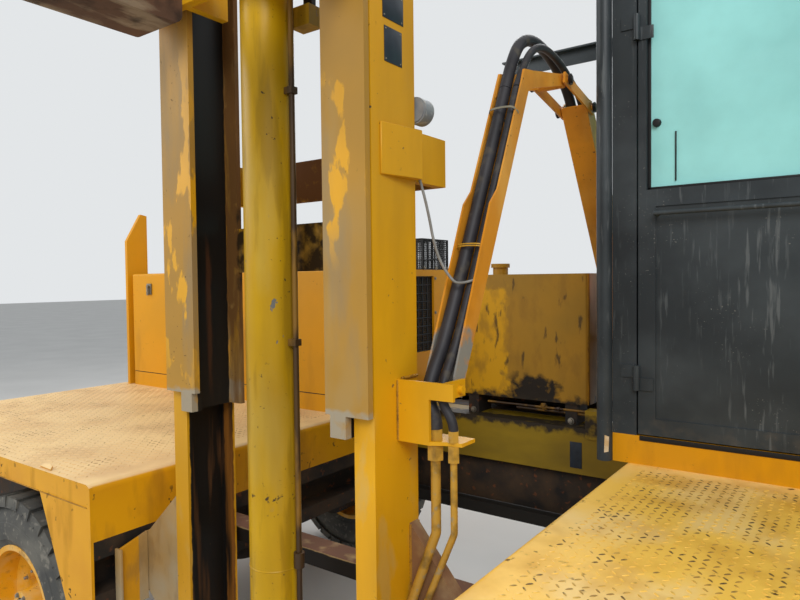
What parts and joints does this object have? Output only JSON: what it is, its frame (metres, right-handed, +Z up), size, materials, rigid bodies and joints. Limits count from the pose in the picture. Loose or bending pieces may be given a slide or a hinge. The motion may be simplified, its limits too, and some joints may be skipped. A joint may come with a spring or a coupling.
{
  "type": "side-loading forklift truck",
  "caption": "Side-loading forklift truck with a mast that runs across its deck, raised forks, a cab at one end and an engine cover at the other.",
  "frame": {"origin": "on the ground under the middle of the overall box, forks included", "axes": "+X to the front (cab end), +Y to the far side, away from the fork side, +Z up"},
  "size_m": [5.11, 3.4, 4.1],
  "materials": {
    "mast_paint": "worn gloss",
    "chassis_paint": "worn gloss",
    "deck_paint": "worn, chequered",
    "cab_paint": "satin",
    "fork_steel": "rusty",
    "greased_steel": "greased",
    "roller_steel": "worn",
    "rod_chrome": "polished",
    "axle_paint": "dirty",
    "rim_paint": "dusty",
    "tyre": "dusty",
    "cab_window": "tinted",
    "black_mesh": "satin",
    "hose_rubber": "dusty",
    "seat_vinyl": "moulded"
  },
  "bodies": {
    "chassis": {"chassis_frame": "chassis_paint", "reach_tracks": "greased_steel", "deck_rear": "deck_paint", "deck_front": "deck_paint", "engine_cover": "chassis_paint", "radiator_grille": "black_mesh", "top_guard": "black_mesh", "engine": "axle_paint", "load_post": "chassis_paint", "tank": "chassis_paint", "tank_feet": "axle_paint", "cab_plinth": "chassis_paint", "cab_shell": "cab_paint", "cab_roof": "cab_paint", "cab_glass": "cab_window", "corner_tube": "cab_paint", "cab_beam": "cab_paint", "seat": "seat_vinyl", "steering_column": "seat_vinyl", "rear_axle": "axle_paint", "front_axle": "axle_paint", "arm_stand": "chassis_paint", "cover_latch": "rod_chrome", "steps": "chassis_paint"},
    "trolley": {"trolley": "mast_paint", "trolley_rollers": "roller_steel", "outer_mast": "mast_paint", "lift_barrel": "mast_paint", "chain_rear": "greased_steel", "mast_arm": "mast_paint", "hose_bracket": "mast_paint", "lift_pipe": "greased_steel", "steel_pipes": "roller_steel", "mast_hoses": "hose_rubber", "hanging_cable": "hose_rubber", "work_lamp": "cab_paint"},
    "inner_mast": {"inner_mast": "mast_paint", "lift_rod": "rod_chrome", "chain_sheaves": "roller_steel", "chain_front": "greased_steel"},
    "fork_carriage": {"fork_carriage": "mast_paint", "forks": "fork_steel"},
    "straps": {"straps": "mast_paint", "hose_loop": "hose_rubber"},
    "chassis_arm": {"chassis_arm": "mast_paint", "arm_hoses": "hose_rubber"},
    "door": {"door": "cab_paint", "door_glass": "cab_window", "door_fittings": "cab_paint"},
    "knuckle_near": {"knuckle_near": "axle_paint"},
    "knuckle_far": {"knuckle_far": "axle_paint"},
    "wheel_rear_near": {"rim_rear_near": "rim_paint", "tyre_rear_near": "tyre"},
    "wheel_rear_far": {"rim_rear_far": "rim_paint", "tyre_rear_far": "tyre"},
    "wheel_front_near": {"rim_front_near": "rim_paint", "tyre_front_near": "tyre"},
    "wheel_front_far": {"rim_front_far": "rim_paint", "tyre_front_far": "tyre"}
  },
  "joints": [
    {"name": "reach", "type": "slide", "parent": "chassis", "child": "trolley", "axis": [0, 1, 0], "range_m": [0, 1.1]},
    {"name": "lift", "type": "slide", "parent": "trolley", "child": "inner_mast", "axis": [0, 0, 1], "range_m": [-1.224, 0.9], "deforming": ["chain_rear", "chain_front"]},
    {"name": "carriage_lift", "type": "slide", "parent": "inner_mast", "child": "fork_carriage", "axis": [0, 0, 1], "range_m": [-1.224, 0.9]},
    {"name": "strap_swing", "type": "hinge", "parent": "trolley", "child": "straps", "pos_m": [0.597, 0.532, 2.456], "axis": [1, 0, 0], "range_deg": [0, 23.05]},
    {"name": "arm_swing", "type": "hinge", "parent": "straps", "child": "chassis_arm", "pos_m": [0.597, 0.785, 2.408], "axis": [-1, 0, 0], "range_deg": [0, 79.54], "deforming": ["hose_loop"]},
    {"name": "door_hinge", "type": "hinge", "parent": "chassis", "child": "door", "pos_m": [0.876, 0.633, 1.9955], "axis": [0, 0, -1], "range_deg": [0, 90]},
    {"name": "steer_near", "type": "hinge", "parent": "chassis", "child": "knuckle_near", "pos_m": [1.585, -0.24, 0.45], "axis": [0, 0, 1], "range_deg": [-32, 32]},
    {"name": "steer_far", "type": "hinge", "parent": "chassis", "child": "knuckle_far", "pos_m": [1.585, 1.32, 0.45], "axis": [0, 0, 1], "range_deg": [-32, 32]},
    {"name": "roll_rear_near", "type": "hinge", "parent": "chassis", "child": "wheel_rear_near", "pos_m": [-1.17, -0.46, 0.45], "axis": [0, 1, 0], "continuous": true},
    {"name": "roll_rear_far", "type": "hinge", "parent": "chassis", "child": "wheel_rear_far", "pos_m": [-1.17, 1.54, 0.45], "axis": [0, 1, 0], "continuous": true},
    {"name": "roll_front_near", "type": "hinge", "parent": "knuckle_near", "child": "wheel_front_near", "pos_m": [1.585, -0.46, 0.45], "axis": [0, 1, 0], "continuous": true},
    {"name": "roll_front_far", "type": "hinge", "parent": "knuckle_far", "child": "wheel_front_far", "pos_m": [1.585, 1.54, 0.45], "axis": [0, 1, 0], "continuous": true}
  ],
  "couplings": [
    {"joint": "carriage_lift", "follows": "lift", "ratio": 1},
    {"joint": "strap_swing", "follows": "reach", "rad_per_m": 0.3655},
    {"joint": "arm_swing", "follows": "reach", "rad_per_m": 1.2619},
    {"joint": "steer_far", "follows": "steer_near", "ratio": 1}
  ]
}
